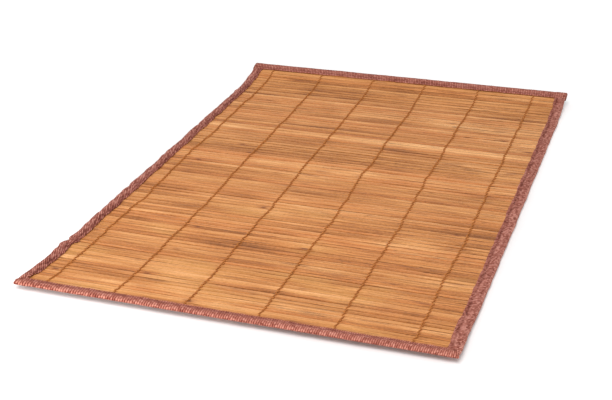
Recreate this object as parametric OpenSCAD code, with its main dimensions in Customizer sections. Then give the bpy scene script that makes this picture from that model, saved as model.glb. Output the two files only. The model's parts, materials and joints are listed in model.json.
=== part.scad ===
// Rolling mat of bamboo slats with a cloth edge binding, lying open on a table.
// X runs along the slats, Y from the front edge to the back edge, Z up.
// The origin is on the table, under the middle of the mat. Sizes are in millimetres.
// The slats are gathered in panels. Neighbouring panels bend about the crease between
// their facing slats, at half the slats' thickness. All other gaps stay straight.

/* [Slats] */
// Length of a slat, from side to side of the mat
slat_len = 297.6; // [200:0.1:400]
// Width of a slat
slat_w = 4.5; // [3:0.1:8]
// Thickness of a slat
slat_t = 1.2; // [0.8:0.1:2]
// Gap between neighbouring slats
slat_gap = 0.48; // [0.46:0.01:1]
// Bevel along the four long edges of a slat
slat_bevel = 0.25; // [0.1:0.05:0.35]

/* [Panels] */
// Panels that the creases divide the mat into
panel_count = 18; // [10:1:18]
// Slats in one panel
slats_per_panel = 5; // [4:1:8]
// Panels that rise towards the front edge
front_curl_panels = 4; // [1:1:4]
// Tilt of the front panel, in degrees
front_curl_angle = 3.3; // [0:0.1:6]
// Panels that rise towards the back edge
back_curl_panels = 2; // [1:1:4]
// Tilt of the back panel, in degrees
back_curl_angle = 12; // [0:0.5:15]

/* [Warps] */
// Warp lines across the slats
warp_count = 6; // [2:1:6]
// Distance between neighbouring warp lines
warp_pitch = 50; // [20:1:55]
// Place of the middle of the warp lines, from the middle of the mat
warp_shift = -4.5; // [-5:0.5:5]
// Width of one warp thread
warp_w = 0.5; // [0.3:0.05:0.8]
// Thickness of one warp thread
warp_t = 0.38; // [0.3:0.02:0.4]
// Gap between the two threads of a warp line
warp_split = 0.1; // [0.05:0.05:0.3]
// Distance that a warp thread stays back from the slat's edge at a crease
warp_inset = 0.35; // [0.35:0.05:0.6]

/* [Binding] */
// Width of a folded side tape, from the outer fold to the inner edge
side_tape_w = 9; // [8:0.5:14]
// Width of the folded front tape
front_tape_w = 7; // [6.5:0.5:14]
// Width of the folded back tape
back_tape_w = 10; // [6.5:0.5:14]
// Thickness of the folded tape on one side of the slats
tape_t = 1.1; // [0.7:0.1:1.2]
// Clearance between the tape and what it holds
tape_fit = 0.1; // [0.05:0.05:0.2]
// Opening in the side tape's upper face at a crease
crease_room_top = 1.8; // [1.8:0.1:2.5]
// Opening in the side tape's lower face at a crease
crease_room_bottom = 0.4; // [0.4:0.1:1]

/* [Seam] */
// Distance of the seam from the tape's inner edge
seam_inset = 2.4; // [2:0.1:4]
// Length of one stitch
stitch_len = 3; // [1.5:0.1:3]
// Distance between neighbouring stitches of the front and back seams
stitch_pitch = 5; // [4:0.5:10]
// Width of the sewing thread
stitch_w = 0.5; // [0.3:0.1:0.8]
// Height of a stitch above the tape
stitch_h = 0.25; // [0.1:0.05:0.3]

/* [Hidden] */
// Two digits for a panel's number
function two(n) = n < 10 ? str("0", n) : str(n);
function names(piece) = [for (i = [1:panel_count]) str(piece, "_", two(i))];

bamboo_colour = [0.80, 0.55, 0.29];
warp_colour = [0.52, 0.27, 0.10];
tape_colour = [0.55, 0.29, 0.30];
seam_colour = [0.42, 0.20, 0.22];

pitch = slat_w + slat_gap;
panel_len = slats_per_panel * pitch;
half_t = slat_t / 2;
// The folded tape round the slats: its outer fold is a half circle of this radius
fold_r = half_t + tape_fit + tape_t;
slot_half = half_t + tape_fit;
// Outer fold of the end tapes, before the first slat of a panel that starts at 0
edge_y = slat_gap / 2 - tape_fit - tape_t;
front_inner_y = edge_y + front_tape_w;
back_inner_y = edge_y + back_tape_w;
half_width = slat_len / 2 + tape_fit + tape_t;
// Half the width of the slats that show between the side tapes
field_half = half_width - side_tape_w;
// How far an outline that trims a shape runs past it
past = fold_r;

// Distance of a seam from the outer fold of a tape of width w
function seam_from_fold(w) = w - seam_inset;
// Slats of an end panel that lie wholly or partly under an end tape that reaches inner_y
function covered(inner_y) = ceil((inner_y - slat_gap / 2) / pitch);

// Tilt of a panel about X: the ends rise by steps of equal angle
function front_part(i) = max(0, front_curl_panels - i) / front_curl_panels;
function back_part(i) = max(0, back_curl_panels - (panel_count - 1 - i)) / back_curl_panels;
function tilt(i) = back_curl_angle * back_part(i) - front_curl_angle * front_part(i);
// Place of a panel's front crease, counted from the mat's front edge and from the flat middle
function run(i) = i <= 0 ? 0 : run(i - 1) + panel_len * cos(tilt(i - 1));
function climb(i) = i <= 0 ? 0 : climb(i - 1) + panel_len * sin(tilt(i - 1));
// The two outer folds, from which the middle of the mat follows
front_fold_y = (edge_y + fold_r) * cos(tilt(0)) - fold_r;
back_fold_y = run(panel_count) - (edge_y + fold_r) * cos(tilt(panel_count - 1)) + fold_r;
middle_y = (front_fold_y + back_fold_y) / 2;

// Children drawn in a panel's own frame: Y from its front crease, Z from the slats' middle
module on_panel(i) {
    translate([0, run(i) - middle_y, climb(i) - climb(front_curl_panels) + fold_r])
        rotate([tilt(i), 0, 0])
        children();
}

// The same shape at the panel's back edge, facing the other way
module at_back() {
    translate([0, panel_len, 0])
        mirror([0, 1, 0])
        children();
}

// An outline in Y and Z, drawn out along X about the middle
module along_x(len) {
    rotate([90, 0, 90])
        linear_extrude(height = len, center = true)
        children();
}

// Cross section of a slat, from its front edge at 0
module slat_outline() {
    b = slat_bevel;
    polygon([
        [b, -half_t], [slat_w - b, -half_t],
        [slat_w, b - half_t], [slat_w, half_t - b],
        [slat_w - b, half_t], [b, half_t],
        [0, half_t - b], [0, b - half_t]
    ]);
}

// The slats of one panel
module slats(i) {
    color(bamboo_colour)
        on_panel(i)
        for (k = [0:slats_per_panel - 1])
            translate([0, slat_gap / 2 + k * pitch, 0])
            along_x(slat_len)
            slat_outline();
}

// Side view of one warp thread on a panel: over one slat, under the next.
// It passes through the gaps and stops short of the creases and of the end tapes.
module warp_outline(i, phase) {
    first = i == 0 ? covered(front_inner_y) : 0;
    last = slats_per_panel - 1 - (i == panel_count - 1 ? covered(back_inner_y) : 0);
    for (k = [first:last]) {
        over = (i * slats_per_panel + k + phase) % 2 == 0;
        from = k == first ? k * pitch + slat_gap / 2 + warp_inset : k * pitch - warp_t / 2;
        to = k == last ? (k + 1) * pitch - slat_gap / 2 - warp_inset
            : (k + 1) * pitch + warp_t / 2;
        translate([from, over ? half_t : -half_t - warp_t])
            square([to - from, warp_t]);
        if (k > first)
            translate([k * pitch - warp_t / 2, -half_t - warp_t])
            square([warp_t, slat_t + 2 * warp_t]);
    }
}

// The two twined threads of each warp line that lies between the side tapes
module warps(i) {
    for (line = [0:warp_count - 1], phase = [0, 1]) {
        line_x = warp_shift + (line - (warp_count - 1) / 2) * warp_pitch;
        thread_x = (phase - 0.5) * (warp_w + warp_split);
        if (abs(line_x) + warp_w + warp_split < field_half)
            translate([line_x + thread_x, 0, 0])
            along_x(warp_w)
            warp_outline(i, phase);
    }
}

// One stitch that lies along Y, about its middle, on top of the tape
module stitch() {
    translate([-stitch_w / 2, -stitch_len / 2, fold_r])
        cube([stitch_w, stitch_len, stitch_h]);
}

// Stretch of the side tapes on a panel, without the end tapes' corners
function side_start(i) = i == 0 ? front_inner_y + tape_fit : 0;
function side_end(i) = panel_len - (i == panel_count - 1 ? back_inner_y + tape_fit : 0);

// The side seams' stitches on one panel, one over each slat that shows
module side_stitches(i) {
    for (side = [-1, 1], k = [0:slats_per_panel - 1]) {
        at = (k + 0.5) * pitch;
        inside = at - stitch_len / 2 > side_start(i) && at + stitch_len / 2 < side_end(i);
        if (inside)
            translate([side * (half_width - seam_from_fold(side_tape_w)), at, 0])
            stitch();
    }
}

// All threads of one panel: its share of the warps, and its side stitches
module threads(i) {
    color(warp_colour)
        on_panel(i)
        warps(i);
    color(seam_colour)
        on_panel(i)
        side_stitches(i);
}

// Outer shape of a folded tape's cross section: outer fold at 0, round, then straight to width w
module tape_blank(w) {
    translate([fold_r, 0])
        circle(r = fold_r, $fn = 48);
    translate([fold_r, -fold_r])
        square([w - fold_r, 2 * fold_r]);
}

// Cross section of the folded tape, open towards the slats
module tape_outline(w) {
    difference() {
        tape_blank(w);
        translate([tape_t, -slot_half])
            square([w, 2 * slot_half]);
    }
}

// Side view of a side tape's stretch, cut back at the creases so that they can close upwards
module side_room(i) {
    start = side_start(i);
    end = side_end(i);
    start_top = i == 0 ? start : start + crease_room_top / 2;
    start_low = i == 0 ? start : start + crease_room_bottom / 2;
    end_top = i == panel_count - 1 ? end : end - crease_room_top / 2;
    end_low = i == panel_count - 1 ? end : end - crease_room_bottom / 2;
    reach = fold_r + past;
    polygon([
        [start_low, -reach], [end_low, -reach], [end_low, 0],
        [end_top, fold_r], [end_top, reach],
        [start_top, reach], [start_top, fold_r], [start_low, 0]
    ]);
}

// The left and right side tapes of one panel
module side_bindings(i) {
    color(tape_colour)
        on_panel(i)
        for (side = [0, 1])
            mirror([side, 0, 0])
            intersection() {
                translate([-half_width, panel_len, 0])
                    rotate([90, 0, 0])
                    linear_extrude(height = panel_len)
                    tape_outline(side_tape_w);
                along_x(2 * (half_width + past))
                    side_room(i);
            }
}

// A tape of width w, folded over the front edge of a panel and closed at both corners
module end_tape(w) {
    difference() {
        translate([0, edge_y, 0])
            along_x(2 * half_width)
            tape_blank(w);
        translate([tape_t - half_width, edge_y + tape_t, -slot_half])
            cube([2 * (half_width - tape_t), w, 2 * slot_half]);
    }
}

// The seam along an end tape of width w
module end_seam(w) {
    stitches = floor((2 * half_width - side_tape_w) / stitch_pitch);
    for (n = [0:stitches - 1])
        translate([(n - (stitches - 1) / 2) * stitch_pitch, edge_y + seam_from_fold(w), 0])
        rotate([0, 0, 90])
        stitch();
}

module front_binding() {
    color(tape_colour)
        on_panel(0)
        end_tape(front_tape_w);
}

module back_binding() {
    color(tape_colour)
        on_panel(panel_count - 1)
        at_back()
        end_tape(back_tape_w);
}

module front_stitching() {
    color(seam_colour)
        on_panel(0)
        end_seam(front_tape_w);
}

module back_stitching() {
    color(seam_colour)
        on_panel(panel_count - 1)
        at_back()
        end_seam(back_tape_w);
}

for (i = [1:panel_count]) {
    slats(i - 1);
    threads(i - 1);
    side_bindings(i - 1);
}
front_binding();
back_binding();
front_stitching();
back_stitching();
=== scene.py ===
# %% [markdown]
# This mat is a row of flat bamboo slats, tied together by cotton warps and finished with a folded
# cloth tape round the edge. It lies open on a white table, its front end a little lifted and its
# back end curled up. The packed model gives the panels, the creases between them and the size. Here
# every slat, thread and tape gets its real surface, laid over those panels.

# %% Load the packed mat
import json
import math
import random
from dataclasses import dataclass

import bpy
import numpy as np
from mathutils import Euler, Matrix, Quaternion, Vector, noise


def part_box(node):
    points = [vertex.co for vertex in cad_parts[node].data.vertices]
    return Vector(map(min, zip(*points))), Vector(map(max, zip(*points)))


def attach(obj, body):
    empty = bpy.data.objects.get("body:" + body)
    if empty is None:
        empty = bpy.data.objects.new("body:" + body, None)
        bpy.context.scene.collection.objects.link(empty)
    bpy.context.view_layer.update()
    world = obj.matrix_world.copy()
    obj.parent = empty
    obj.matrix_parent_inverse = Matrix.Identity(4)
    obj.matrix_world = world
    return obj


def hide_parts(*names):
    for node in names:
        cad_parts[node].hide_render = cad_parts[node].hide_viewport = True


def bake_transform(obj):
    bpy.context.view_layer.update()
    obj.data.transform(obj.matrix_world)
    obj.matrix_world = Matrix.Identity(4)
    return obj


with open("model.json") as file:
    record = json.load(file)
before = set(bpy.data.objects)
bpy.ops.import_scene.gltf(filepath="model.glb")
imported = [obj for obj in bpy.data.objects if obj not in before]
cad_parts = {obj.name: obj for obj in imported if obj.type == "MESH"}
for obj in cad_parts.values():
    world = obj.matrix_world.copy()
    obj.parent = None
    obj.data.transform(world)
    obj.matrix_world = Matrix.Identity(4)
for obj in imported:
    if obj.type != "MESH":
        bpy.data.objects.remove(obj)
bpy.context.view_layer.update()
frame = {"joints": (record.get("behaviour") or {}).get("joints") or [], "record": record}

# %% [markdown]
# All work is done on a flat mat first, because a mat is woven flat. A flat place has three numbers
# in millimetres: across the mat, along it from the front crease line, and up from the middle of the
# slats. One function then lays flat places on the resting mat. It turns each point about the nearest
# crease, and spreads the turn smoothly from one panel's middle to the next one's, so that the mat
# curves instead of breaking into flats.

# %% Read the creases and panels
MM = 0.001
creases = sorted(frame["joints"], key=lambda joint: joint["name"])
crease_y = np.array([joint["pos_m"][1] for joint in creases]) / MM
crease_z = np.array([joint["pos_m"][2] for joint in creases]) / MM
panel_names = sorted(frame["record"]["behaviour"]["bodies"])
panel_len = float(np.hypot(crease_y[1] - crease_y[0], crease_z[1] - crease_z[0]))
mat_len = panel_len * len(panel_names)
inner_tilts = np.arctan2(np.diff(crease_z), np.diff(crease_y))
# At its lower limit a crease is flat, so that limit tells how far it is bent at rest.
front_bend, back_bend = (math.radians(-creases[end]["range_deg"][0]) for end in (0, -1))
tilts = np.array([inner_tilts[0] - front_bend, *inner_tilts, inner_tilts[-1] + back_bend])
print(len(panel_names), "panels of", round(panel_len, 2), "mm, tilted", np.degrees(tilts).round(1))


# %% Lay flat places on the resting mat
def smooth(share):
    """0 to 1 with a soft start and end."""
    share = np.clip(share, 0, 1)
    return share * share * (3 - 2 * share)


def lay(flat):
    """Flat places in millimetres, one a row, as places on the resting mat in metres."""
    across, along, up = np.asarray(flat, float).T
    crease = np.clip(np.rint(along / panel_len).astype(int), 1, len(creases))
    past = along - crease * panel_len
    before, after = tilts[crease - 1], tilts[crease]
    turn = before + smooth(past / panel_len + 0.5) * (after - before)
    y = crease_y[crease - 1] + past * np.cos(turn) - up * np.sin(turn)
    z = crease_z[crease - 1] + past * np.sin(turn) + up * np.cos(turn)
    return np.stack([across, y, z], 1) * MM


def panel_middle(panel):
    """Middle of a panel, counted from 0, on the resting mat."""
    return Vector(lay([[0, (panel + 0.5) * panel_len, 0]])[0])


print("front edge at", [round(v / MM, 1) for v in lay([[0, 0, 0]])[0]])

# %% Sizes read from the packed mat
slat_low, slat_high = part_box("slats_09")
tape_low, tape_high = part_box("side_bindings_09")
half_width = tape_high.x / MM
slat_half_len = slat_high.x / MM
slat_half_t = (slat_high.z - slat_low.z) / MM / 2
tape_half_t = (tape_high.z - tape_low.z) / MM / 2
slats_per_panel = 5
slat_pitch = panel_len / slats_per_panel
slat_count = slats_per_panel * len(panel_names)
cover_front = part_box("front_binding")[0].y / MM
edge_reach = crease_y[0] - panel_len - cover_front
print("slats", slat_count, "pitch", round(slat_pitch, 2), "tape half thickness", round(tape_half_t, 2))
print("tape reaches past the front crease line by", round(edge_reach, 2))

# %% [markdown]
# The camera stands where the photographer stood, in front of the mat's right side, looking down at
# about 25 degrees. Its place and lens come from the mat's four corners and its warp lines.

# %% Camera
camera_place = Vector((0.2668, -0.8178, 0.3946))
camera_left = math.radians(19.50)
camera_down = math.radians(25.45)
camera_roll = math.radians(-1.10)
camera_lens = 70.73
bpy.ops.object.camera_add(location=camera_place)
camera = bpy.context.object
camera.name = "camera"
camera.rotation_mode = "QUATERNION"
aim = Euler((math.pi / 2 - camera_down, 0, camera_left)).to_quaternion()
camera.rotation_quaternion = aim @ Quaternion((0, 0, 1), camera_roll)
camera.data.lens = camera_lens
camera.data.sensor_width = 36
bpy.context.scene.camera = camera
print("camera looks", [round(v, 3) for v in aim @ Vector((0, 0, -1))])

# %% [markdown]
# Finishes are written as sums. A wire stands for one socket of a material, and plus, minus and times
# on wires add the Math nodes, so a mask reads as it would on paper.


# %% A wire
class Wire:
    """One output socket of a material, with arithmetic."""

    def __init__(self, finish, socket):
        self.finish = finish
        self.socket = socket

    def maths(self, operation, first, second):
        """A Math node on two wires or values."""
        return self.finish.add("ShaderNodeMath", {"operation": operation}, {0: first, 1: second})

    def __add__(self, other):
        return self.maths("ADD", self, other)

    def __sub__(self, other):
        return self.maths("SUBTRACT", self, other)

    def __mul__(self, other):
        return self.maths("MULTIPLY", self, other)

    def __rsub__(self, other):
        return self.maths("SUBTRACT", other, self)

    __radd__ = __add__
    __rmul__ = __mul__


print("a wire takes plus, minus and times")


# %% A finish
class Finish:
    """A material or a sky that is being mixed."""

    def __init__(self, owner, shader="Principled BSDF"):
        owner.use_nodes = True
        self.owner = owner
        self.tree = owner.node_tree
        self.shader = self.tree.nodes[shader]

    def add(self, kind, settings, sockets, output=0):
        """A node of a kind, with its settings first, then values or wires for its sockets."""
        node = self.tree.nodes.new(kind)
        for name, value in settings.items():
            setattr(node, name, value)
        for name, value in sockets.items():
            self.feed(node.inputs[name], value)
        return Wire(self, node.outputs[output])

    def feed(self, socket, value):
        """Links a wire to a socket, or writes a plain value there."""
        if isinstance(value, Wire):
            self.tree.links.new(value.socket, socket)
        else:
            socket.default_value = value

    def attribute(self, name):
        """A vector that is stored on the piece."""
        return self.add("ShaderNodeAttribute", {"attribute_name": name}, {}, "Vector")

    def parts(self, vector):
        """The three numbers of a vector."""
        node = self.tree.nodes.new("ShaderNodeSeparateXYZ")
        self.feed(node.inputs[0], vector)
        return [Wire(self, socket) for socket in node.outputs]

    def place(self, x, y, z):
        """A vector of three numbers."""
        return self.add("ShaderNodeCombineXYZ", {}, {0: x, 1: y, 2: z})

    def cloud(self, vector, detail=2.0, rough=0.5):
        """Soft noise from 0 to 1, one swell a unit."""
        settings = {"noise_dimensions": "3D"}
        sockets = {"Vector": vector, "Scale": 1.0, "Detail": detail, "Roughness": rough}
        return self.add("ShaderNodeTexNoise", settings, sockets)

    def step(self, wire, low, high, kind="SMOOTHSTEP"):
        """0 below low, 1 above high, smooth between, or straight where kind is LINEAR."""
        settings = {"interpolation_type": kind}
        return self.add("ShaderNodeMapRange", settings, {0: wire, 1: low, 2: high, 3: 0.0, 4: 1.0})

    def mix(self, share, first, second):
        """One colour turned into another."""
        settings = {"data_type": "RGBA"}
        return self.add("ShaderNodeMix", settings, {0: share, 6: first, 7: second}, 2)

    def scale(self, value, stops):
        """A colour from a list of (value, colour) stops, mixed evenly between them."""
        colour = stops[0][1]
        for (low, _), (high, following) in zip(stops, stops[1:]):
            colour = self.mix(self.step(value, low, high, "LINEAR"), colour, following)
        return colour

    def bump(self, height, distance):
        """A relief of that height, in metres."""
        sockets = {"Height": height, "Strength": 1.0, "Distance": distance}
        return self.add("ShaderNodeBump", {}, sockets)

    def set(self, **sockets):
        """Feeds the shader. An underscore in a name stands for a space."""
        for name, value in sockets.items():
            self.feed(self.shader.inputs[name.replace("_", " ")], value)
        return self.owner


def new_finish(name):
    """A fresh material, ready to be mixed."""
    return Finish(bpy.data.materials.new(name))


print("a finish can", [name for name in vars(Finish) if not name.startswith("_")])

# %% [markdown]
# The light is a white room: a pale sky that fills the shadows, one large soft lamp high in front of
# the mat, and a smaller one low at its front left corner. The low lamp lights the front fold of the
# tape and thins the shadow under that corner. The sky lights the mat at half strength, but what is
# seen of it, by the camera or in a reflection, is white.


# %% Sky
def rgb(red, green, blue):
    """An opaque colour, in plain light values."""
    return (red, green, blue, 1.0)


def seen(finish):
    """1 for what the camera or a reflection sees, 0 for what lights the mat."""
    path = finish.tree.nodes.new("ShaderNodeLightPath")
    eye, mirror, glass = (
        Wire(finish, path.outputs[name])
        for name in ("Is Camera Ray", "Is Glossy Ray", "Is Transmission Ray")
    )
    return eye.maths("MAXIMUM", eye, mirror.maths("MAXIMUM", mirror, glass))


scene = bpy.context.scene
scene.view_settings.view_transform = "Standard"
scene.world = bpy.data.worlds.new("white_room")
sky = Finish(scene.world, "Background")
sky_strength = 0.50
sky.set(Color=rgb(1, 1, 1), Strength=seen(sky) * (1 - sky_strength) + sky_strength)
print("sky lights the mat at", sky_strength)


# %% Lamps
def soft_lamp(name, place, size, watts):
    """A square soft lamp that faces the mat."""
    bpy.ops.object.light_add(type="AREA", location=place)
    lamp = bpy.context.object
    lamp.name = name
    lamp.data.size = size
    lamp.data.energy = watts
    lamp.rotation_mode = "QUATERNION"
    lamp.rotation_quaternion = (-Vector(place)).to_track_quat("-Z", "Y")


soft_lamp("front_softbox", place=(0.16, -0.90, 1.30), size=0.8, watts=16.0)
soft_lamp("left_softbox", place=(-0.42, -0.62, 0.22), size=0.30, watts=1.1)

# %% [markdown]
# Bamboo is a bundle of long fibres, so everything on a slat is drawn out along it: fine fibre lines,
# broader streaks, and slow changes of tone. Each slat was split from another place in the stem, so
# each has its own tone, stored on its points. Where the stem had a knot, the slat keeps a dark smudge.
# In each cloud below, a number beside across or along says how many swells there are in a millimetre.


# %% Bamboo finish
def bamboo_finish():
    """Slats with their own tone, their grain, cracks and knots, with painted light and shade:
    paler places, dark rims and a darker band by the front tape.
    """
    finish = new_finish("bamboo")
    across, along, up = finish.parts(finish.attribute("flat"))
    tone, hue, chance = finish.parts(finish.attribute("slat"))
    knot_along, knot_beside, knot_strength = finish.parts(finish.attribute("knot"))
    share, _, _ = finish.parts(finish.attribute("share"))
    own = chance * 90.0
    patch = finish.cloud(finish.place(across * 0.014, along * 0.028, 4.0), 2.0)
    drift = finish.cloud(finish.place(across * 0.008 + own, along * 0.02, 7.0), 2.0)
    streak = finish.cloud(finish.place(across * 0.020 + own, along * 0.50, up * 0.4), 3.0, 0.6)
    fibre = finish.cloud(finish.place(across * 0.060 + own, along * 2.2, up * 2.2), 5.0, 0.65)
    hair = finish.cloud(finish.place(across * 0.26 + own, along * 7.0, up * 7.0), 3.0, 0.6)
    split = finish.cloud(finish.place(across * 0.012 + own, along * 0.62, 9.0), 2.0)
    fleck = finish.cloud(finish.place(across * 0.55 + own, along * 1.5, 3.0), 2.0)
    layers = [(patch, 0.64), (drift, 0.74), (streak, 0.94), (fibre, 0.86), (hair, 0.64), (fleck, 0.52)]
    waves = sum(cloud * weight for cloud, weight in layers)
    middle = sum(weight for _, weight in layers) / 2
    # Painted light makes the slats a little paler at the front left and the back right, and painted
    # shade with some dirt makes them darker by the front tape.
    painted_light_shade_and_dirt = finish.step(across * 0.5 + along, 30.0, -60.0) * 0.07
    back_right = finish.step(across, 20.0, 130.0) * finish.step(along, 230.0, 340.0)
    painted_light_shade_and_dirt = painted_light_shade_and_dirt + back_right * (1 - finish.step(along, 370.0, 440.0) * 0.75) * 0.17 - 0.02
    painted_light_shade_and_dirt = painted_light_shade_and_dirt - finish.step(along, 10.0, 5.5) * 0.20
    # share * 0.12 makes each slat lighter towards its back edge and darker towards its front, partly the
    # bamboo's own change across a slat and partly painted shade, as if lit from behind.
    shade = tone + share * 0.12 + painted_light_shade_and_dirt + waves - middle
    honey = finish.mix(hue, rgb(0.605, 0.252, 0.074), rgb(0.640, 0.220, 0.062))
    olive = finish.step(patch + along * -0.0008, 0.40, 0.62)
    honey = finish.mix(olive * 0.8, honey, rgb(0.575, 0.266, 0.070))
    soot, deep = rgb(0.15, 0.045, 0.012), rgb(0.40, 0.140, 0.033)
    light, pale = rgb(0.76, 0.340, 0.118), rgb(1.00, 0.530, 0.225)
    colour = finish.scale(shade, [(0.0, soot), (0.28, deep), (0.50, honey), (0.74, light), (1.02, pale)])
    # Cracks follow a line in the noise, on dry slats. Dark rims are painted along the front long
    # edge of each slat, as painted shade beside the gap.
    line = split - 0.5
    line = line.maths("ABSOLUTE", line, 0.0)
    dry = finish.step(drift + across * 0.0012, 0.50, 0.72)
    crack = (1 - finish.step(line, 0.005, 0.022)) * dry
    colour = finish.mix(crack * 0.80, colour, soot)
    rim = finish.step(share + (drift - 0.5) * 0.16, -0.38, -0.50) * finish.step(streak, 0.42, 0.62)
    colour = finish.mix(rim * 0.60, colour, soot)
    ragged = (fibre - 0.5) * 2.6
    far_off = finish.place(knot_along, knot_beside, 0.0)
    spot = finish.add("ShaderNodeVectorMath", {"operation": "LENGTH"}, {0: far_off}, "Value")
    knot = finish.step(spot + ragged, 1.0, 0.25) * knot_strength
    halo = finish.step(spot * 0.42 + ragged, 1.0, 0.2) * knot_strength
    colour = finish.mix(halo * 0.60, colour, rgb(0.36, 0.105, 0.026))
    colour = finish.mix(knot * 0.80, colour, rgb(0.14, 0.036, 0.012))
    relief = fibre * 0.5 + hair * 0.25 - knot * 0.3 - crack * 0.4
    return finish.set(
        Base_Color=colour,
        Roughness=0.48 + fibre * 0.22,
        Normal=finish.bump(relief, 0.00020),
        Specular_IOR_Level=0.3,
    )


bamboo = bamboo_finish()
print("bamboo is mixed from", len(bamboo.node_tree.nodes), "nodes")

# %% [markdown]
# The warps are twisted cotton dyed a rusty brown. The twist is a fine slanting stripe round the
# thread, so it reads the thread's own map: how far along and how far round.


# %% Thread finish
twist_rate = 5.5


def thread_finish(name, pale, dark):
    """Twisted cotton, pale on its strands and dark between them."""
    finish = new_finish(name)
    along, around, spare = finish.parts(finish.attribute("thread"))
    turn = along * twist_rate + around * math.tau
    twist = finish.add("ShaderNodeMath", {"operation": "SINE"}, {0: turn}) * 0.5 + 0.5
    fuzz = finish.cloud(finish.place(along * 4.0, around * 3.0, spare), 3.0)
    colour = finish.mix(finish.step(twist * 0.7 + fuzz * 0.6, 0.35, 0.95), dark, pale)
    return finish.set(
        Base_Color=colour,
        Roughness=0.82 + fuzz * 0.1,
        Normal=finish.bump(twist, 0.00008),
    )


warp_cotton = thread_finish("warp_cotton", rgb(0.55, 0.195, 0.038), rgb(0.28, 0.088, 0.016))
seam_cotton = thread_finish("seam_cotton", rgb(0.20, 0.055, 0.047), rgb(0.060, 0.015, 0.013))
print("threads twist once in", round(math.tau / twist_rate, 2), "mm")

# %% [markdown]
# The tape is a ribbed cotton. Its ribs run over the fold, a little slanted, with dark thread between
# them, and each rib is a chain of short stitches, some paler and some darker. The top has faded to a
# dusty mauve. On the outer fold, where the ribs open, the coral thread shows.


# %% Tape finish
rib_link = 1.2
fold_above = 1.6


def tape_finish():
    """Ribbed cotton: a rib is a chain of links, mauve on top and coral round the fold.
    The cloth's second number is 0 at the outermost line of the fold and negative above it."""
    finish = new_finish("tape")
    ribs, across, coral_share = finish.parts(finish.attribute("cloth"))
    grip, shaded, calm = finish.parts(finish.attribute("sewn"))
    rib = finish.add("ShaderNodeMath", {"operation": "SINE"}, {0: ribs * math.pi})
    rib = rib.maths("ABSOLUTE", rib, 0.0)
    number = ribs.maths("FLOOR", ribs, 0.0)
    link = across * (1 / rib_link) + number * 0.5
    link = link.maths("FLOOR", link, 0.0)
    spot = finish.place(number, link, 0.0)
    chance = finish.add("ShaderNodeTexWhiteNoise", {"noise_dimensions": "2D"}, {"Vector": spot})
    swell = finish.cloud(finish.place(ribs * 0.60, across * 0.34, 2.0), 2.0)
    yarn = finish.cloud(finish.place(ribs * 2.2, across * 1.8, 5.0), 3.0, 0.6)
    patch = finish.cloud(finish.place(ribs * 0.10, across * 0.12, 1.0), 2.0)
    soft = (swell - 0.5) * 0.45 + (yarn - 0.5) * 0.4 + (patch - 0.5) * 0.4
    # The outer top of the side tapes, next to the fold, is painted lighter, as painted light on the side
    # that faces outward.
    painted_edge_light = finish.step(across, -3.2, -0.8)
    # grip and shaded darken the cloth with painted shade: grip in the seam's groove, shaded on the top
    # inside the seam.
    value = 0.12 + rib * rib * 0.66 + (chance - 0.5) * 0.62 + soft - grip * 0.16 - shaded * 0.26
    quiet = value * (0.72 - calm * 0.22) + 0.12 + painted_edge_light * (1 - calm) * 0.12 + calm * 0.11
    wine, mauve = rgb(0.090, 0.017, 0.011), rgb(0.270, 0.072, 0.048)
    dusk, rose = rgb(0.46, 0.165, 0.120), rgb(0.72, 0.355, 0.280)
    faded = finish.scale(quiet, [(0.0, wine), (0.30, mauve), (0.55, dusk), (0.90, rose)])
    rust, coral = rgb(0.16, 0.030, 0.021), rgb(0.44, 0.112, 0.072)
    salmon, peach = rgb(0.60, 0.190, 0.130), rgb(0.76, 0.330, 0.245)
    vivid = (value - 0.4) * (1 + calm * 0.35) + 0.4 - (1 - coral_share) * 0.24
    bright = finish.scale(vivid, [(0.0, rust), (0.30, coral), (0.55, salmon), (0.90, peach)])
    fold = finish.step(across, -fold_above, 0.8 - fold_above) - finish.step(across, 1.2, 2.6)
    colour = finish.mix(fold * coral_share, faded, bright)
    # Painted shade in the seam's groove.
    colour = finish.mix(grip * 0.30, colour, wine)
    return finish.set(
        Base_Color=colour,
        Roughness=0.86 + yarn * 0.10,
        Normal=finish.bump(rib * 0.6 + chance * 0.3 + yarn * 0.6, 0.00030),
        Specular_IOR_Level=0.2,
    )


tape = tape_finish()
print("tape is mixed from", len(tape.node_tree.nodes), "nodes")

# %% [markdown]
# A slat starts as a block. Its four long edges are bevelled, and it is cut into short lengths so
# that it can bow a little. Then it is copied once for each place in the mat, and every copy is made
# a bit wider or narrower, tipped and bent as split bamboo is.


# %% Tools for picking and cutting
def clear_selection():
    """Leaves nothing selected."""
    bpy.ops.object.select_all(action="DESELECT")


def pick(piece):
    """Selects one object alone."""
    clear_selection()
    piece.select_set(True)
    bpy.context.view_layer.objects.active = piece


def pick_edges(piece, wanted):
    """Selects the edges whose direction passes a test. The piece is in edit mode after it."""
    mesh = piece.data
    bpy.ops.object.mode_set(mode="OBJECT")
    mesh.vertices.foreach_set("select", [False] * len(mesh.vertices))
    mesh.polygons.foreach_set("select", [False] * len(mesh.polygons))
    for edge in mesh.edges:
        first, second = (mesh.vertices[i].co for i in edge.vertices)
        edge.select = wanted(second - first)
    bpy.ops.object.mode_set(mode="EDIT")
    bpy.context.tool_settings.mesh_select_mode = (False, True, False)


def points_of(piece):
    """The places of a piece's points, one a row."""
    places = np.zeros(len(piece.data.vertices) * 3)
    piece.data.vertices.foreach_get("co", places)
    return places.reshape(-1, 3)


def move_points(piece, places):
    """Puts a piece's points at those places."""
    piece.data.vertices.foreach_set("co", np.asarray(places, float).ravel())
    piece.data.update()


def store(piece, name, vectors):
    """Keeps a vector on every point of a piece, for its finish to read."""
    kept = piece.data.attributes.new(name, "FLOAT_VECTOR", "POINT")
    kept.data.foreach_set("vector", np.asarray(vectors, float).ravel())


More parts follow.
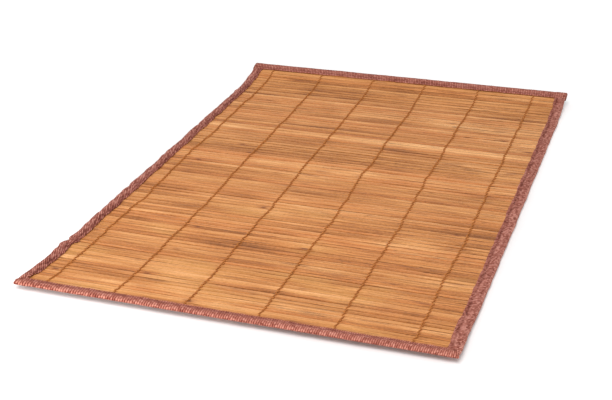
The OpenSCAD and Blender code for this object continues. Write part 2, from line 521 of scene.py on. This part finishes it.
def join(pieces, name):
    """Joins pieces into one object of that name."""
    clear_selection()
    for piece in pieces:
        piece.select_set(True)
    bpy.context.view_layer.objects.active = pieces[0]
    if len(pieces) > 1:
        bpy.ops.object.join()
    whole = bpy.context.object
    whole.name = name
    whole.data.name = name
    return whole


print("pieces are picked, cut, moved and joined with these tools")


# %% Hang a piece on the panels
def hang_on(piece, crease, finish, nodes):
    """Gives a piece its finish and hides the packed nodes that it replaces. Crease 0 means the front
    panel alone, and one past the last crease the back panel alone; there the piece is attached to that
    panel, and at a crease in between it is left where it lies."""
    piece.data.materials.clear()
    piece.data.materials.append(finish)
    if 0 < crease < len(panel_names):
        panel_names[crease - 1]
        panel_middle(crease - 1)
        panel_middle(crease)
        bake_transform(piece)
    else:
        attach(piece, panel_names[0 if crease == 0 else -1])
    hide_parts(*nodes)


def nodes_at(kind, crease):
    """The packed nodes of a kind on the two panels that meet at a crease."""
    return [f"{kind}_{crease:02d}", f"{kind}_{crease + 1:02d}"]


def stretch_of(crease):
    """Where the pieces of a crease start and end along the mat: at the panels' middles,
    or at the mat's own end."""
    start = 0 if crease == 1 else (crease - 0.5) * panel_len
    end = mat_len if crease == len(creases) else (crease + 0.5) * panel_len
    return start, end


crease_numbers = range(1, len(creases) + 1)
print("pieces are cut at", [round(stretch_of(c)[1], 1) for c in crease_numbers][:3], "and so on")

# %% Model one slat
slat_edge = 0.2
slat_cuts = 59


def runs_across(way):
    """True for a slat's long edges, which run across the mat."""
    return abs(way.x) > 1


clear_selection()
bpy.ops.mesh.primitive_cube_add(size=1)
pattern_slat = bpy.context.object
pattern_slat.name = "pattern_slat"
pattern_slat.scale = (2 * slat_half_len, slat_pitch, 2 * slat_half_t)
bpy.ops.object.transform_apply(scale=True)
pick_edges(pattern_slat, runs_across)
bpy.ops.mesh.bevel(offset=slat_edge, segments=2, profile=0.5)
pick_edges(pattern_slat, runs_across)
bpy.ops.mesh.subdivide(number_cuts=slat_cuts)
bpy.ops.object.mode_set(mode="OBJECT")
print("pattern slat has", len(pattern_slat.data.polygons), "faces")

# %% [markdown]
# The slats lie edge to edge. Split bamboo isn't straight, so the line between two slats wanders, and
# the gap along it opens and closes, and a few gaps are wide. Each warp line keeps the gap open where
# its threads pass. The random draws are made in one fixed order, so the mat is the same each time.

# %% Lines between the slats
first_warp_x = -129.5
warp_apart = 50.0
warp_count = 6
warp_xs = [first_warp_x + warp_apart * line for line in range(warp_count)]
warp_gap, warp_gap_reach = 0.44, 2.8
most_slip = 0.9
wide_gaps = {21: 0.6, 26: 0.7, 35: 0.8, 53: 0.6, 64: 0.5, 78: 0.6}
shuffle = random.Random(7)
slips = [0.0] + [shuffle.uniform(-most_slip, most_slip) for _ in range(slat_count - 1)] + [0.0]
openness = [shuffle.uniform(0.05, 0.32) for _ in range(slat_count + 1)]
for n, wide in wide_gaps.items():
    openness[n] = wide


def rough(a, b, c):
    """Smooth noise between about -0.7 and 0.7."""
    return noise.noise(Vector((a, b, c)))


def line_at(n, x):
    """Where the line before slat n lies, at a place across the mat."""
    if n in (0, slat_count):
        return n * slat_pitch
    pull = 1.1 * rough(x * 0.006, n * 0.06, 3.1) + 0.35 * rough(x * 0.018, n * 2.7, 9.4)
    ease = min(n, slat_count - n, 4) / 4
    return n * slat_pitch + slips[n] + pull * ease


def gap_at(n, x):
    """How wide the gap before slat n is, at a place across the mat."""
    dry_side = 0.08 * float(smooth((x - 40) / 90))
    open_gap = 0.06 + openness[n] + dry_side + 1.3 * max(0.0, rough(x * 0.022, n * 3.3, 5.8) - 0.06)
    near_warp = max(math.exp(-(((x - warp) / warp_gap_reach) ** 2)) for warp in warp_xs)
    return max(open_gap, warp_gap * near_warp)


print("line 20 wanders", [round(line_at(20, x) - 20 * slat_pitch, 2) for x in (-140, -70, 0, 70, 140)])


# %% Draw what makes each slat its own
def draw_slat(n):
    """A slat's tip, plumpness and lift, its tones, and its knot's place, size and strength."""
    tip = math.radians(shuffle.gauss(0, 1.8))
    plump = shuffle.uniform(0.93, 1.03)
    lift = shuffle.uniform(-0.06, 0.06)
    tone = shuffle.gauss(0.54, 0.078) + 0.10 * rough(n * 0.23, 1.7, 4.2)
    # The two slats by the front tape are darker, as painted shade from the tape beside them.
    if n < 2:
        tone -= 0.07
    if shuffle.random() < 0.10:
        tone -= 0.11
    knot_x, knot_y = shuffle.uniform(-140, 140), shuffle.uniform(-1.4, 1.4)
    knot_long, knot_wide = shuffle.uniform(4.0, 12.0), shuffle.uniform(0.9, 1.8)
    knot_strength = shuffle.uniform(0.0, 0.5)
    if shuffle.random() < 0.18:
        knot_long, knot_wide = shuffle.uniform(2.4, 4.4), shuffle.uniform(1.2, 2.0)
        knot_strength = shuffle.uniform(0.75, 1.0)
    hue, chance = shuffle.random(), shuffle.random()
    return (tip, plump, lift), (tone, hue, chance), (knot_x, knot_y, knot_long, knot_wide, knot_strength)


drawn_slats = [draw_slat(n) for n in range(slat_count)]
all_tones = [tones[0] for _, tones, _ in drawn_slats]
print("slat tones run from", round(min(all_tones), 2), "to", round(max(all_tones), 2))


# %% Lay ninety slats
def shape_slat(slat, n, build, tones, its_knot):
    """Sets a copy of the pattern slat between its two lines, tipped, bowed and swollen at its knot."""
    tip, plump, lift = build
    knot_x, knot_y, knot_long, knot_wide, knot_strength = its_knot
    flat, knot, share = [], [], []
    for x, beside, up in points_of(slat):
        near = line_at(n, x) + gap_at(n, x) / 2
        far = line_at(n + 1, x) - gap_at(n + 1, x) / 2
        side = beside / slat_pitch * (far - near)
        swell = 1 + 0.10 * knot_strength * math.exp(-(((x - knot_x) / 3) ** 2))
        bow = 0.07 * rough(x * 0.02, n * 1.9, 2.2)
        flat.append((x, (near + far) / 2 + side, up * plump * swell + lift + side * math.sin(tip) + bow))
        knot.append(((x - knot_x) / knot_long, (side - knot_y) / knot_wide, knot_strength))
        share.append((beside / slat_pitch, 0.0, 0.0))
    move_points(slat, lay(flat))
    store(slat, "flat", flat)
    store(slat, "knot", knot)
    store(slat, "share", share)
    store(slat, "slat", [tones] * len(flat))


slat_groups = {crease: [] for crease in crease_numbers}
for n, drawn in enumerate(drawn_slats):
    pick(pattern_slat)
    bpy.ops.object.duplicate()
    slat = bpy.context.object
    shape_slat(slat, n, *drawn)
    crease = round((n + 0.5) / slats_per_panel)
    slat_groups[min(max(crease, 1), len(creases))].append(slat)
bpy.data.objects.remove(pattern_slat)
print("slats in each piece", [len(group) for group in slat_groups.values()])

# %% Finish and hang the slats
for crease, group in slat_groups.items():
    slats = join(group, f"bamboo_slats_{crease:02d}")
    pick(slats)
    bpy.ops.object.shade_smooth_by_angle(angle=math.radians(35))
    hang_on(slats, crease, bamboo, nodes_at("slats", crease))
print("slat pieces", len(slat_groups), "with", len(slats.data.polygons), "faces in the last")

# %% [markdown]
# A warp line is two threads twined round the slats: where one goes over a slat, the other goes
# under it, and they swap sides on the way, like the strands of a rope. So a thread is a flattened
# helix round the slats. Each thread starts as a cylinder, is cut into rings, and its rings are set
# along the helix. It is cut at the panels' middles.

# %% Warp sizes
warp_thick = 1.0
warp_swing = 0.70
warp_rise = slat_half_t + warp_thick * 0.36
warp_under = 3.0
front_tape_w, back_tape_w = 7.0, 10.0
front_inner = front_tape_w - edge_reach
back_inner = mat_len - (back_tape_w - edge_reach)
warp_from, warp_to = front_inner - warp_under, back_inner + warp_under
print("warps at", warp_xs, "from", round(warp_from, 1), "to", round(warp_to, 1))

# %% The way of a warp thread
ring_shares = (0.0, 0.06, 0.14, 0.32, 0.5, 0.68, 0.86, 0.94)


def warp_x(line, along):
    """A warp line isn't quite straight, and neighbouring lines are pulled aside together."""
    shared = 1.3 * rough(along * 0.012, 0.7, 0.4) + 1.1 * rough(along * 0.045, 3.7, 0.4)
    own = 0.9 * rough(line * 7.7, along * 0.018, 0.4) + 0.7 * rough(line * 3.3, along * 0.11, 6.4)
    jog = 0.6 * rough(line * 5.9, along * 0.30, 2.4)
    return warp_xs[line] + shared + own + jog


def thread_path(line, phase, start, end):
    """Flat places along one thread of a warp line. Phase is 1 for one thread of the pair, -1 for
    the other."""
    path = []
    for n in range(slat_count):
        near, far = line_at(n, warp_xs[line]), line_at(n + 1, warp_xs[line])
        for share in ring_shares:
            along = near + share * (far - near)
            turn = math.pi * (n + share)
            height = phase * math.sin(turn)
            flattened = math.copysign(min(1.0, 2.1 * abs(height)) ** 0.8, height)
            sag = 1 - 0.08 * math.sin(math.pi * share)
            x = warp_x(line, along) - phase * warp_swing * math.cos(turn)
            path.append((x, along, flattened * warp_rise / sag))
    path = np.array(path)
    inside = path[(path[:, 1] > start + 0.05) & (path[:, 1] < end - 0.05)]
    ends = [[np.interp(cut, path[:, 1], path[:, k]) for k in range(3)] for cut in (start, end)]
    return np.vstack([ends[0], inside, ends[1]])


print("a thread of one panel has", len(thread_path(0, 1, panel_len, 2 * panel_len)), "rings")

# %% Mesh a thread
thread_sides = 6


def thread_mesh(name, flat, thick):
    """A round thread through flat places, with a ring at each, closed at both ends."""
    flat = np.asarray(flat, float)
    clear_selection()
    bpy.ops.mesh.primitive_cylinder_add(
        vertices=thread_sides, radius=1, depth=1, end_fill_type="TRIFAN"
    )
    thread = bpy.context.object
    thread.name = name
    pick_edges(thread, lambda way: abs(way.z) > 0.5)
    bpy.ops.mesh.subdivide(number_cuts=len(flat) - 2)
    bpy.ops.object.mode_set(mode="OBJECT")
    places = points_of(thread)
    ring = np.clip(np.rint((places[:, 2] + 0.5) * (len(flat) - 1)).astype(int), 0, len(flat) - 1)
    way = np.gradient(flat, axis=0)
    way /= np.linalg.norm(way, axis=1)[:, None]
    side = np.cross(way, [0, 0, 1])
    side /= np.maximum(np.linalg.norm(side, axis=1), 1e-9)[:, None]
    rise = np.cross(side, way)
    moved = flat[ring] + thick / 2 * (places[:, :1] * side[ring] + places[:, 1:2] * rise[ring])
    walked = np.concatenate([[0], np.cumsum(np.linalg.norm(np.diff(flat, axis=0), axis=1))])
    turned = np.arctan2(places[:, 1], places[:, 0]) / (2 * math.pi)
    store(thread, "thread", np.stack([flat[0].sum() + walked[ring], turned, places[:, 0] * 0], 1))
    move_points(thread, lay(moved))
    return thread


print("threads have", thread_sides, "sides")

# %% Twine the warps
for crease in crease_numbers:
    start, end = stretch_of(crease)
    start, end = max(start, warp_from), min(end, warp_to)
    made = []
    for line in range(len(warp_xs)):
        for phase in (1, -1):
            made.append(thread_mesh("thread", thread_path(line, phase, start, end), warp_thick))
    warps = join(made, f"warp_threads_{crease:02d}")
    pick(warps)
    bpy.ops.object.shade_smooth_by_angle(angle=math.radians(70))
    hang_on(warps, crease, warp_cotton, nodes_at("threads", crease))
print("warp pieces", len(creases), "with", len(warps.data.polygons), "faces in the last")

# %% [markdown]
# The edge tape is made the way it is sewn on. A flat strip of ribbed cloth is laid out, folded in
# half round the slats' ends, and given its thickness. The seam pulls the top down in a shallow
# groove, and outside the groove the cloth stands up in a soft roll. How one tape differs from the
# next is written in a small record of its own, so that one function folds all four.

# %% Tape outline
seam_inset = 2.4
side_tape_w = 9.0
fold_point = 12


class Outline:
    """The outline of a folded tape of some width: distance in from the fold, and height, from the
    upper inner edge over the top, round the fold and back along the underside. fold_point counts
    the outermost place from 0, and walk is the distance round from there."""

    def __init__(self, width):
        seam = width - seam_inset
        self.width = width
        self.seam = seam
        self.points = [
            (width, 1.02), (width - 0.25, 1.34), (width - 0.8, 1.54), (seam + 0.8, 1.46), (seam, 1.30),
            (seam - 0.7, 1.54), (seam * 0.72, 1.86), (seam * 0.50, 2.00), (seam * 0.36, 1.92),
            (1.10, 1.45), (0.42, 0.92), (0.12, 0.35), (0.05, -0.22), (0.45, -0.95), (1.25, -1.48),
            (2.40, -1.70), (seam * 0.60, -1.72), (seam - 0.7, -1.70), (seam, -1.52),
            (seam + 0.7, -1.70), (width - 0.8, -1.68), (width, -1.25),
        ]
        steps = np.linalg.norm(np.diff(self.points, axis=0), axis=1)
        walk = np.concatenate([[0], np.cumsum(steps)])
        self.strip_w = float(walk[-1])
        self.walk = walk - walk[fold_point]


side_outline = Outline(side_tape_w)
front_outline = Outline(front_tape_w)
back_outline = Outline(back_tape_w)
for outline in (side_outline, front_outline, back_outline):
    print("a tape", outline.width, "mm wide is cut", round(outline.strip_w, 1), "mm wide")


# %% How a tape is woven and sewn
@dataclass
class Look:
    """What makes one tape differ from another. Sizes are in millimetres.
    rib is the distance from rib to rib, crowd how much the ribs close up along the tape, and slant
    how far a rib slips along for each step over the fold. pucker is how wavy the cloth is, and seed
    picks its waves. shade is how much painted shade darkens the top inside the seam, and calm is 1 for
    even cloth and 0 for uneven. mitre is how far the inner edge is pulled back from a corner, for each
    step inward.
    tuck is a rule that says, at a distance along, how far the fold draws in, how much of its height
    the tape keeps, how far its inner edge gapes and how lumpy it is. coral is a rule that says how
    much coral shows on the fold."""

    rib: float
    slant: float
    pucker: float
    seed: float
    shade: float
    tuck: object
    coral: object
    crowd: float = 0.0
    calm: float = 0.0
    mitre: float = 0.0


print("a tape's look has", list(Look.__dataclass_fields__))


# %% Lay out a flat strip
rows_per_rib = 4


def flat_strip(name, start, end, rib, outline):
    """A grid with a few rows to each rib and a column for each stretch of the outline. Gives the
    strip, how far along each point is, and which place of the outline it belongs to."""
    rows = rows_per_rib * max(1, round((end - start) / rib))
    columns = len(outline.points) - 1
    clear_selection()
    bpy.ops.mesh.primitive_grid_add(x_subdivisions=rows, y_subdivisions=columns, size=1)
    strip = bpy.context.object
    strip.name = name
    grid = points_of(strip)
    along = start + (grid[:, 0] + 0.5) * (end - start)
    column = np.clip(np.rint((0.5 - grid[:, 1]) * columns).astype(int), 0, columns)
    return strip, along, column


print("strips have", len(side_outline.points) - 1, "columns")

# %% Fold a strip round an edge
corner_reach = 0.8
end_half_len = half_width + corner_reach
mitre_from = 9
# How far the ribs, the swells and the groove of the seam move the cloth, in millimetres.
rib_relief, calm_relief = 0.30, 0.06
swell_relief = 0.36
groove_depth, groove_half_w = 0.34, 0.9
rib_on_inner, rib_on_outer = 0.40, 0.28
gape_rise = 0.45
table_clear = 0.02


def folded_strip(name, start, end, place, outline, look):
    """A ribbed strip from start to end along an edge, folded to an outline. place turns distance
    along, distance in and height into a flat place."""
    strip, along, column = flat_strip(name, start, end, look.rib, outline)
    flat, cloth, sewn = [], [], []
    plump = strip.vertex_groups.new(name="plump")
    for i, (s, c) in enumerate(zip(along, column)):
        inward, height = outline.points[c]
        shift, share, gape, lump = look.tuck(s)
        pucker = look.pucker * lump
        walk = outline.walk[c]
        wave = pucker * rough(s * 0.040, look.seed, 5.0)
        swell = pucker * rough(s * 0.13, c * 0.16, look.seed)
        rib_count = (s + look.crowd * s * s + look.slant * walk) / look.rib
        rib = abs(math.sin(math.pi * rib_count)) - 0.5
        # How much of this point is on the top, near the fold, and at the upper inner edge.
        top = smooth((height + 0.9) / 1.8)
        outer = smooth((3.0 - inward) / 3.0)
        inner = smooth((inward - outline.width + 2.0) / 2.0) * top
        grip = math.exp(-(((inward - outline.seam) / groove_half_w) ** 2)) * top
        dip = smooth(0.5 + 2.2 * rough(s * 0.075, look.seed, 8.0))
        bulge = (rib_relief - calm_relief * look.calm) * rib * (1 + rough(s * 0.5, walk * 0.2, look.seed))
        bulge += swell_relief * swell * top - groove_depth * grip * dip
        inward += shift - 0.55 * wave * (0.4 + 0.6 * top) - 0.26 * swell * outer - gape * inner
        inward += 0.5 * pucker * rough(s * 0.11, look.seed, 12.0) * inner
        inward += rib * (rib_on_inner * inner - rib_on_outer * outer)
        mitre = look.mitre * inward * float(smooth((abs(s) - end_half_len + mitre_from) / mitre_from))
        s -= math.copysign(mitre, s)
        stand = min(1, abs(height)) * (1 - 0.85 * (1 - top))
        height = (height + math.copysign(bulge, height) * stand) * share
        height += gape_rise * gape * inner
        flat.append(place(s, inward, max(height, table_clear - tape_half_t)))
        cloth.append((rib_count + look.seed * 10, walk, look.coral(s)))
        # The top inside the seam is painted darker, partly painted shade from the roll of cloth beside it
        # and partly dirt.
        shaded = smooth((inward - outline.seam + 0.8) / 1.6) * top * look.shade
        sewn.append((grip * (0.35 + 0.65 * dip), shaded, look.calm))
        plump.add([i], share, "REPLACE")
    store(strip, "cloth", cloth)
    store(strip, "sewn", sewn)
    move_points(strip, lay(flat))
    return strip


print("end tapes reach", round(end_half_len, 1), "mm to either side")

# %% Sew a strip on
cloth_t = 0.6


def turn_outwards(strip, inside):
    """Flips a strip whose faces point at the place that it wraps."""
    face = strip.data.polygons[len(strip.data.polygons) // 2]
    if face.normal.dot(face.center - inside) < 0:
        pick(strip)
        bpy.ops.object.mode_set(mode="EDIT")
        bpy.ops.mesh.select_all(action="SELECT")
        bpy.ops.mesh.flip_normals()
        bpy.ops.object.mode_set(mode="OBJECT")


def thicken(strip):
    """Gives the cloth its thickness, towards the slats."""
    pick(strip)
    solid = strip.modifiers.new("thickness", "SOLIDIFY")
    solid.thickness = cloth_t * MM
    solid.offset = -1
    solid.vertex_group = "plump"
    bpy.ops.object.modifier_apply(modifier=solid.name)
    bpy.ops.object.shade_smooth_by_angle(angle=math.radians(50))


def sewn_strip(name, start, end, place, outline, look, slats):
    """A strip that is folded, turned right side out and thickened."""
    strip = folded_strip(name, start, end, place, outline, look)
    inside = place((start + end) / 2, outline.width / 2, 0)
    turn_outwards(strip, Vector(lay([inside])[0]))
    thicken(strip)
    (end - start) * MM
    return strip


print("cloth is", cloth_t, "mm thick")

# %% [markdown]
# The side tapes run on under the ends of the front and back tapes, where they are pressed flat. The
# left one was sewn less evenly, so it is wavier, its ribs are pulled aslant like the lay of a rope,
# and its inner edge gapes before the front tape.

# %% How the side tapes are drawn in
side_under = 3.5
side_start, side_end = front_inner - side_under, back_inner + side_under


def side_tuck(draw, gape, necks, flare):
    """How a side tape is drawn in, with a few tight necks, and pressed flat towards its two ends.
    flare is how far it spreads out again at the front corner."""

    def tuck(s):
        from_end = min(s - side_start, side_end - s)
        open_here = gape * (smooth((s - side_start - 1) / 4) - smooth((s - side_start - 5) / 9))
        flatness = 0.52 + 0.48 * float(smooth(from_end / 7))
        neck = sum(deep * math.exp(-(((s - at) / 2.6) ** 2)) for at, deep in necks)
        spread = flare * float(smooth(1 - (s - side_start) / 18))
        return draw * float(smooth(from_end / 14)) + neck - spread, flatness, float(open_here), 1.0

    return tuck


# Where the left tape is drawn in, or let out, and how far.
left_necks = [
    (62.0, -0.9), (69.0, 2.2), (118.0, 0.5), (165.0, 0.7), (232.0, 0.5), (300.0, 0.6), (371.0, 0.5),
]
left_look = Look(
    rib=2.4,
    slant=-1.6,
    pucker=1.9,
    seed=2.0,
    shade=0.65,
    tuck=side_tuck(0.1, 2.6, left_necks, 0.8),
    coral=lambda s: 0.30,
)
right_look = Look(
    rib=1.7,
    slant=-0.35,
    pucker=1.4,
    seed=8.0,
    shade=0.30,
    tuck=side_tuck(0.0, 0.4, [], 0.3),
    coral=lambda s: 0.0,
)
print("side tapes run from", round(side_start, 1), "to", round(side_end, 1), "mm along the mat")


# %% Side tapes
def at_side(side, drawn=lambda s: 0.0):
    """A rule for places at a side edge, -1 for the left and 1 for the right. It turns distance along,
    distance in and height into a flat place. drawn says how far in the fold is there."""

    def place(s, inward, height):
        return side * (half_width - inward - drawn(s)), s, height

    return place


sides = (("left", -1, left_look), ("right", 1, right_look))
for crease in crease_numbers:
    start, end = stretch_of(crease)
    start, end = max(start, side_start), min(end, side_end)
    for side_name, side, look in sides:
        name = f"{side_name}_tape_{crease:02d}"
        strip = sewn_strip(name, start, end, at_side(side), side_outline, look, crease)
        hang_on(strip, crease, tape, nodes_at("side_bindings", crease))
print("side tape pieces", 2 * len(creases), "with", len(strip.data.polygons), "faces in the last")

# %% [markdown]
# The front and back tapes run from corner to corner over the ends of the side tapes. Their ends are
# tucked in, so the corners are closed, and the cloth is lumpy there.


# %% How the end tapes are tucked in
corner_r = 0.9
least_height = 0.16


def corner_tuck(across):
    """How far the fold draws in near a corner, how flat the tape gets there and how lumpy."""
    past = max(0.0, abs(across) - (end_half_len - corner_r)) / corner_r
    drop = math.sqrt(max(0.0, 1 - past * past))
    over_side = 0.10 * float(smooth((abs(across) - (half_width - side_tape_w - 2)) / 4))
    lump = 1.0 + 1.3 * float(smooth((abs(across) - 128) / 15))
    return corner_r * (1 - drop), max(least_height, drop * (1 + over_side)), 0.0, lump


def front_coral(across):
    """The coral is strongest at the front's left end and weaker towards the right."""
    return 1.0 - 0.50 * float(smooth((across + 120) / 210))


end_weave = {"rib": 1.6, "slant": 0.25, "pucker": 0.8, "shade": 0.2, "calm": 1.0, "tuck": corner_tuck}
front_look = Look(seed=4.0, coral=front_coral, crowd=0.0006, mitre=0.45, **end_weave)
back_look = Look(seed=6.0, coral=lambda across: 0.5, **end_weave)
print("coral on the front fold at both ends", [round(front_coral(x), 2) for x in (-140, 140)])


# %% End tapes
def at_end(front):
    """A rule for places at the front or the back edge. It turns distance across, distance in and
    height into a flat place."""

    def place(s, inward, height):
        along = inward - edge_reach
        return s, along if front else mat_len - along, height

    return place


ends = (
    ("front", at_end(True), front_outline, front_look, 0),
    ("back", at_end(False), back_outline, back_look, len(panel_names)),
)
for end_name, place, outline, look, crease in ends:
    slats = min(max(crease, 1), len(creases))
    strip = sewn_strip(f"{end_name}_tape", -end_half_len, end_half_len, place, outline, look, slats)
    hang_on(strip, crease, tape, [f"{end_name}_binding"])
print("end tapes have", len(strip.data.polygons), "faces each")

# %% [markdown]
# The seam is a row of stitches that sink into the groove. One stitch is a short thread, highest in
# its middle, with both ends going down into the cloth.

# %% One seam
stitch_len = 3.0
stitch_thick = 0.46
seam_top = 1.34
seam_low = -1.50
# Places along a stitch, as shares of its length, and how deep it dips there.
stitch_steps = ((-0.5, 0.45), (-0.38, 0.12), (0.0, 0.0), (0.38, 0.12), (0.5, 0.45))


def seam(ats, place, inward):
    """The stitches of a seam, above and below the tape."""
    made = []
    for at in ats:
        for height, out in ((seam_top, 1), (seam_low, -1)):
            path = []
            for share, dip in stitch_steps:
                path.append(place(at + share * stitch_len, inward, height - out * dip))
            made.append(thread_mesh("stitch", path, stitch_thick))
    return made


print("a stitch is", stitch_len, "mm long and", stitch_thick, "mm thick")

# %% Side stitches
# They keep clear of the end tapes, and a stitch on a cut belongs to the piece after it.
end_clear = 1.5
cut_slack = 0.1
side_ats = [(n + 0.5) * slat_pitch for n in range(slat_count)]
side_ats = [at for at in side_ats if front_inner + end_clear < at < back_inner - end_clear]
for crease in crease_numbers:
    start, end = stretch_of(crease)
    here = [at for at in side_ats if start - cut_slack <= at < end - cut_slack]
    made = []
    for _, side, look in sides:
        made += seam(here, at_side(side, lambda s: look.tuck(s)[0]), side_outline.seam)
    stitches = join(made, f"side_stitches_{crease:02d}")
    hang_on(stitches, crease, seam_cotton, nodes_at("threads", crease))
print("side stitches", 4 * len(side_ats))

# %% End stitches
end_pitch = 5.0
end_count = int((2 * half_width - side_tape_w) / end_pitch)
end_ats = [(n - (end_count - 1) / 2) * end_pitch for n in range(end_count)]
for end_name, place, outline, _, crease in ends:
    stitches = join(seam(end_ats, place, outline.seam), f"{end_name}_stitches")
    hang_on(stitches, crease, seam_cotton, [f"{end_name}_stitching"])
print("end stitches", 4 * end_count)

# %% [markdown]
# The table is a plain white sheet that runs far past the picture. It keeps the mat's shadow, and a
# little of its own light in the camera's eyes makes the open table pure white, as in the photograph.

# %% Table
table_size = 12
below_mat = 0.0002
front_left = (-0.15, -0.23, 0)
bpy.ops.mesh.primitive_plane_add(size=table_size, location=(0, 0, -below_mat))
table = bpy.context.object
table.name = "table"
paper = new_finish("table_white")
spot = paper.add("ShaderNodeTexCoord", {}, {}, "Object")
reach = paper.add("ShaderNodeVectorMath", {"operation": "LENGTH"}, {0: spot}, "Value")
far = paper.step(reach, 0.50, 1.30)
lit = paper.step(reach, 0.33, 0.75)
corner = {0: spot, 1: front_left}
from_corner = paper.add("ShaderNodeVectorMath", {"operation": "DISTANCE"}, corner, "Value")
# A painted pool of light on the table round the mat's front left corner thins the mat's shadow there.
painted_light_pool = paper.step(from_corner, 0.24, 0.02)
_, depth, _ = paper.parts(spot)
behind = paper.step(depth, -0.10, 0.25)
glow = seen(paper) * (0.03 + painted_light_pool * 0.10 + behind * (1 - lit) * 0.17 + lit * 0.97)
table.data.materials.append(
    paper.set(
        Base_Color=paper.mix(far, rgb(0.96, 0.96, 0.96), rgb(0, 0, 0)),
        Roughness=0.9,
        Specular_IOR_Level=0.2,
        Emission_Color=paper.mix(glow, rgb(0, 0, 0), rgb(1, 1, 1)),
        Emission_Strength=1.0,
    )
)
print("table is", table_size, "m wide and", round(below_mat / MM, 1), "mm below the mat")
